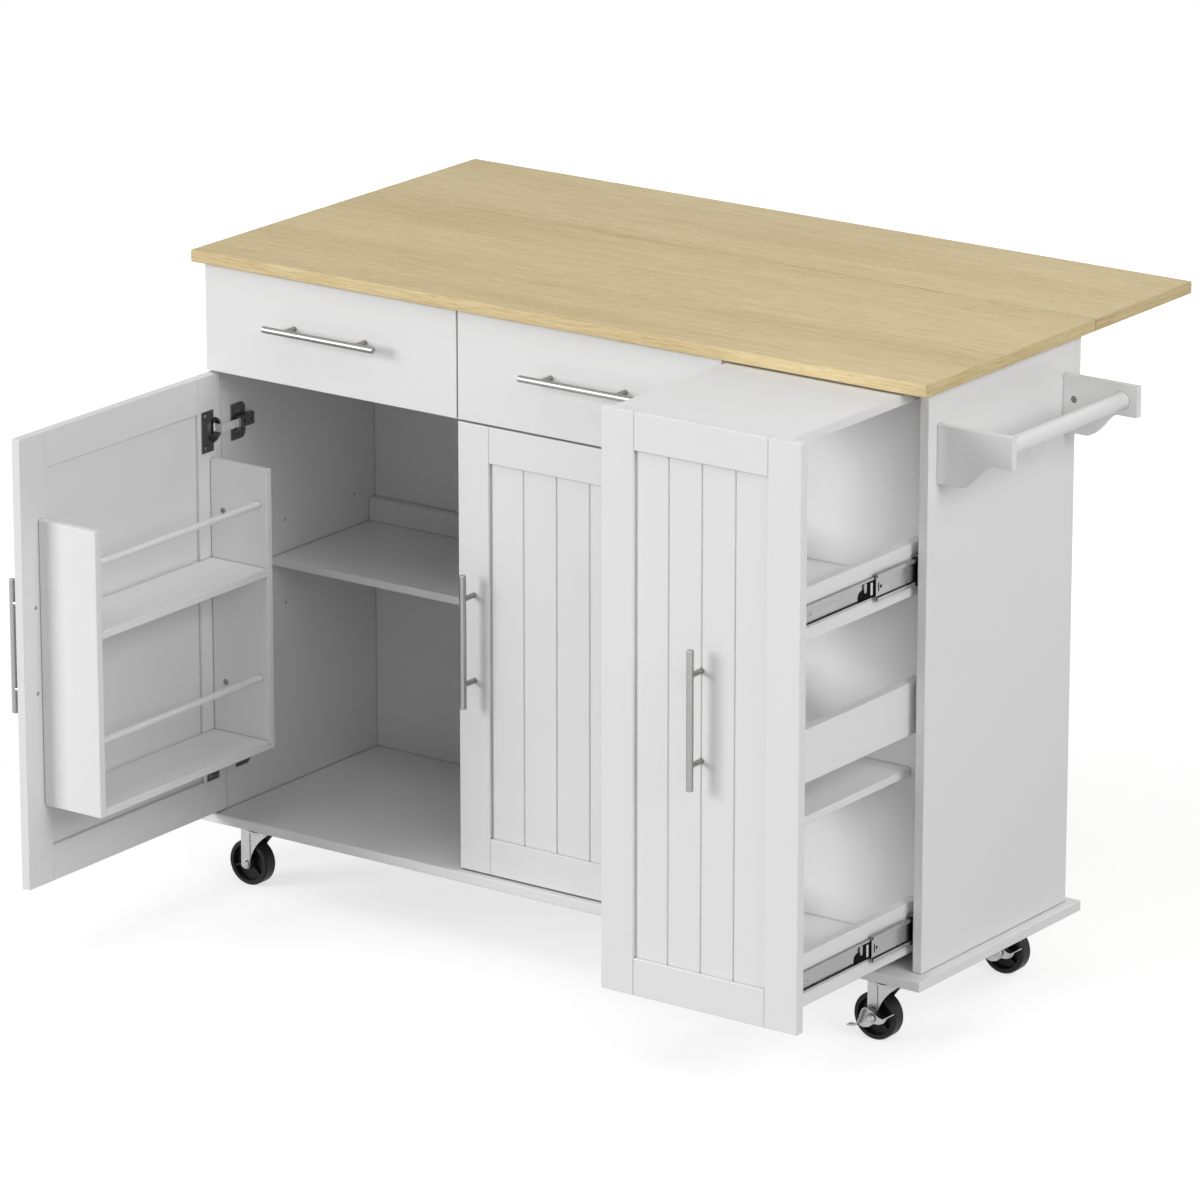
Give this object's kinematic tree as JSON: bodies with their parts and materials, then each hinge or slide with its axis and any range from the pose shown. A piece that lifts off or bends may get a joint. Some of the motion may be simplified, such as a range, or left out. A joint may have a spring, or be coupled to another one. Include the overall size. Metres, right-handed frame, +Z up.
{
  "type": "drop leaf kitchen island",
  "caption": "Rolling kitchen island with drop leaf worktop, door with inner spice rack, plain door, drawers, tall pull-out pantry unit, towel rack and casters.",
  "frame": {"origin": "on the floor, under the middle of the bounding box of the island as it is shown: left door open, pull-out drawn out, leaf raised", "axes": "+X from left to right along the front, +Y from the front to the back, +Z up"},
  "size_m": [1.3914, 1.116, 0.97],
  "materials": {
    "white_paint": "satin white paint on fibreboard",
    "beech": "satin lacquered light solid wood",
    "handle_steel": "brushed",
    "hinge_nickel": "dark nickel",
    "hinge_steel": "nickel plated",
    "slide_zinc": "bright zinc",
    "stay_steel": "bright zinc",
    "caster_zinc": "bright zinc",
    "caster_black": "matte black"
  },
  "bodies": {
    "carcass": {"worktop": "beech", "left_side_panel": "white_paint", "right_side_panel": "white_paint", "base_board": "white_paint", "partition": "white_paint", "drawer_divider": "white_paint", "drawer_deck": "white_paint", "back_panel": "white_paint", "back_rails": "white_paint", "shelf": "white_paint", "shelf_pins": "slide_zinc", "drawer_slide_outers": "slide_zinc", "pullout_slide_outers": "slide_zinc", "hinge_plates": "hinge_nickel", "hinge_arms": "hinge_steel", "hinge_bodies": "hinge_nickel", "towel_brackets": "white_paint", "towel_rod": "white_paint", "leaf_stay_wall_legs": "stay_steel", "caster_plates": "caster_zinc"},
    "leaf": {"drop_leaf": "beech", "leaf_stay_top_legs": "stay_steel"},
    "stay_lower_links": {"leaf_stay_lower_links": "stay_steel"},
    "stay_upper_links": {"leaf_stay_upper_links": "stay_steel"},
    "left_door": {"left_door_frame": "white_paint", "left_door_panel": "white_paint", "left_door_handle": "handle_steel", "left_hinge_cups": "hinge_nickel", "spice_rack_sides": "white_paint", "spice_rack_shelves": "white_paint", "spice_rack_rods": "white_paint"},
    "right_door": {"right_door_frame": "white_paint", "right_door_panel": "white_paint", "right_door_handle": "handle_steel", "right_hinge_cups": "hinge_nickel"},
    "left_drawer": {"left_drawer_front": "white_paint", "left_drawer_box": "white_paint", "left_drawer_handle": "handle_steel", "left_drawer_slide_inners": "slide_zinc"},
    "right_drawer": {"right_drawer_front": "white_paint", "right_drawer_box": "white_paint", "right_drawer_handle": "handle_steel", "right_drawer_slide_inners": "slide_zinc"},
    "pullout": {"pullout_front_frame": "white_paint", "pullout_front_panel": "white_paint", "pullout_boards": "white_paint", "pullout_rails": "white_paint", "pullout_handle": "handle_steel", "pullout_slide_inners": "slide_zinc"},
    "pullout_middles": {"pullout_slide_middles": "slide_zinc"},
    "front_left_swivel": {"front_left_fork": "caster_zinc"},
    "front_left_roller": {"front_left_wheel": "caster_black"},
    "front_right_swivel": {"front_right_fork": "caster_zinc"},
    "front_right_roller": {"front_right_wheel": "caster_black"},
    "front_right_lever": {"front_right_brake": "caster_zinc"},
    "back_left_swivel": {"back_left_fork": "caster_zinc"},
    "back_left_roller": {"back_left_wheel": "caster_black"},
    "back_right_swivel": {"back_right_fork": "caster_zinc"},
    "back_right_roller": {"back_right_wheel": "caster_black"},
    "back_right_lever": {"back_right_brake": "caster_zinc"}
  },
  "joints": [
    {"name": "left_door_swing", "type": "hinge", "parent": "carcass", "child": "left_door", "pos_m": [-0.65675, -0.11155, 0.452], "axis": [0, 0, 1], "range_deg": [-5, 90]},
    {"name": "right_door_swing", "type": "hinge", "parent": "carcass", "child": "right_door", "pos_m": [0.23825, -0.11155, 0.452], "axis": [0, 0, 1], "range_deg": [0, 90]},
    {"name": "left_drawer_slide", "type": "slide", "parent": "carcass", "child": "left_drawer", "axis": [0, -1, 0], "range_m": [0, 0.22]},
    {"name": "right_drawer_slide", "type": "slide", "parent": "carcass", "child": "right_drawer", "axis": [0, -1, 0], "range_m": [0, 0.22]},
    {"name": "pullout_slide", "type": "slide", "parent": "carcass", "child": "pullout", "axis": [0, -1, 0], "range_m": [-0.287, 0.03]},
    {"name": "pullout_middles_slide", "type": "slide", "parent": "carcass", "child": "pullout_middles", "axis": [0, -1, 0], "range_m": [-0.09567, 0.01001]},
    {"name": "leaf_fold", "type": "hinge", "parent": "carcass", "child": "leaf", "pos_m": [-0.04525, 0.29445, 0.942], "axis": [1, 0, 0], "range_deg": [-90, 0]},
    {"name": "lower_link_fold", "type": "hinge", "parent": "carcass", "child": "stay_lower_links", "pos_m": [-0.04525, 0.29345, 0.842], "axis": [1, 0, 0], "range_deg": [-0.01, 43.6]},
    {"name": "upper_link_fold", "type": "hinge", "parent": "leaf", "child": "stay_upper_links", "pos_m": [-0.04525, 0.39445, 0.944], "axis": [1, 0, 0], "range_deg": [-44.2, 0.01]},
    {"name": "front_left_swivel_turn", "type": "hinge", "parent": "carcass", "child": "front_left_swivel", "pos_m": [-0.60225, -0.08555, 0.09], "axis": [0, 0, 1], "continuous": true},
    {"name": "front_left_wheel_spin", "type": "hinge", "parent": "front_left_swivel", "child": "front_left_roller", "pos_m": [-0.61825, -0.08555, 0.035], "axis": [0, 1, 0], "continuous": true},
    {"name": "front_right_swivel_turn", "type": "hinge", "parent": "carcass", "child": "front_right_swivel", "pos_m": [0.51175, -0.08555, 0.09], "axis": [0, 0, 1], "continuous": true},
    {"name": "front_right_wheel_spin", "type": "hinge", "parent": "front_right_swivel", "child": "front_right_roller", "pos_m": [0.49575, -0.08555, 0.035], "axis": [0, 1, 0], "continuous": true},
    {"name": "front_right_brake_press", "type": "hinge", "parent": "front_right_swivel", "child": "front_right_lever", "pos_m": [0.49575, -0.08555, 0.035], "axis": [0, 1, 0], "range_deg": [0, 20]},
    {"name": "back_left_swivel_turn", "type": "hinge", "parent": "carcass", "child": "back_left_swivel", "pos_m": [-0.60225, 0.24445, 0.09], "axis": [0, 0, 1], "continuous": true},
    {"name": "back_left_wheel_spin", "type": "hinge", "parent": "back_left_swivel", "child": "back_left_roller", "pos_m": [-0.61825, 0.24445, 0.035], "axis": [0, 1, 0], "continuous": true},
    {"name": "back_right_swivel_turn", "type": "hinge", "parent": "carcass", "child": "back_right_swivel", "pos_m": [0.51175, 0.24445, 0.09], "axis": [0, 0, 1], "continuous": true},
    {"name": "back_right_wheel_spin", "type": "hinge", "parent": "back_right_swivel", "child": "back_right_roller", "pos_m": [0.49575, 0.24445, 0.035], "axis": [0, 1, 0], "continuous": true},
    {"name": "back_right_brake_press", "type": "hinge", "parent": "back_right_swivel", "child": "back_right_lever", "pos_m": [0.49575, 0.24445, 0.035], "axis": [0, 1, 0], "range_deg": [0, 20]}
  ],
  "couplings": [
    {"joint": "pullout_middles_slide", "follows": "pullout_slide", "ratio": 0.33333},
    {"joint": "lower_link_fold", "follows": "leaf_fold", "ratio": -0.48356},
    {"joint": "upper_link_fold", "follows": "leaf_fold", "ratio": 0.48978}
  ]
}
